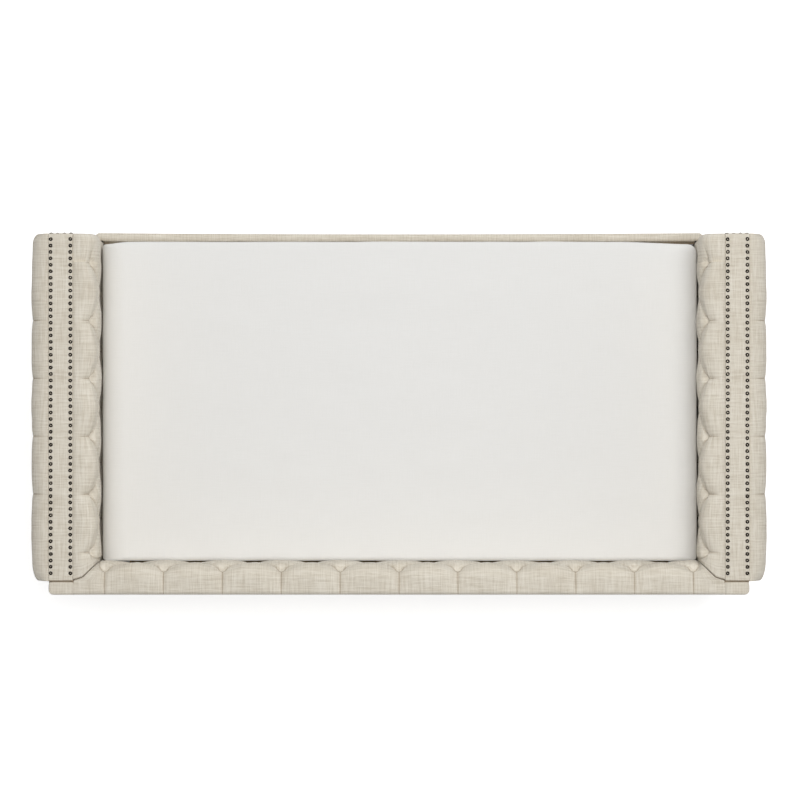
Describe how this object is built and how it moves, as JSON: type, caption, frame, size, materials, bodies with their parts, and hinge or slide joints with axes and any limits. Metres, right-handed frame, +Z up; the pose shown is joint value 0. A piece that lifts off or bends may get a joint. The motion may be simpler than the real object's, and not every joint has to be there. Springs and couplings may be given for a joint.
{
  "type": "tufted daybed",
  "caption": "Upholstered daybed with diamond-tufted rolled arms and back, nailhead trim, slatted deck, padded front rail, bun feet and a sheeted mattress.",
  "frame": {"origin": "centre of the bounding box on the floor under the feet", "axes": "+Z up, the front faces -Y, +X to the right of someone who looks at the front"},
  "size_m": [2.2606, 1.13, 0.8491],
  "materials": {
    "linen": "oatmeal linen-look weave with fine slubs",
    "linen_button": "the same linen over a button mould",
    "sheet": "smooth white cotton fitted sheet",
    "mattress": "white ticking over springs and foam",
    "foam": "cream upholstery foam",
    "bronze": "dark antique bronze nail heads",
    "frame_wood": "sawn pine",
    "board": "brown hardboard",
    "slat_wood": "planed pine",
    "foot_wood": "espresso stain, satin",
    "steel": "zinc plated",
    "glide": "black nylon",
    "cambric": "black non-woven dust cloth",
    "webbing": "white woven strap"
  },
  "bodies": {
    "root": {"right_arm_posts": "frame_wood", "left_arm_posts": "frame_wood", "right_arm_sill": "frame_wood", "left_arm_sill": "frame_wood", "right_arm_plank": "frame_wood", "left_arm_plank": "frame_wood", "right_arm_web": "board", "left_arm_web": "board", "right_arm_outer_board": "board", "left_arm_outer_board": "board", "right_arm_roll_core": "frame_wood", "left_arm_roll_core": "frame_wood", "right_arm_blocks": "frame_wood", "left_arm_blocks": "frame_wood", "right_arm_liner": "frame_wood", "left_arm_liner": "frame_wood", "right_arm_foam": "foam", "left_arm_foam": "foam", "right_arm_tufting": "linen", "left_arm_tufting": "linen", "right_arm_roll": "linen", "left_arm_roll": "linen", "right_arm_band": "linen", "left_arm_band": "linen", "right_arm_outside_cover": "linen", "left_arm_outside_cover": "linen", "right_arm_lower_cover": "linen", "left_arm_lower_cover": "linen", "right_arm_nails": "bronze", "left_arm_nails": "bronze", "right_arm_buttons": "linen_button", "left_arm_buttons": "linen_button", "dust_covers": "cambric", "arm_t_nuts": "steel", "back_rails": "frame_wood", "back_posts": "frame_wood", "back_web": "board", "back_foam": "foam", "back_tufting": "linen", "back_buttons": "linen_button", "back_outside_cover": "linen", "back_end_caps": "linen", "back_bolts": "steel", "rail_board": "frame_wood", "rail_cover": "linen", "rail_brackets": "steel", "rail_bolts": "steel", "rail_insert_nuts": "steel", "bracket_screws": "steel", "front_ledger": "frame_wood", "rear_ledger": "frame_wood", "slats": "slat_wood", "slat_straps": "webbing", "mattress": "mattress", "fitted_sheet": "sheet", "front_feet": "foot_wood", "rear_feet": "foot_wood", "foot_studs": "steel", "foot_glides": "glide"}
  },
  "joints": []
}
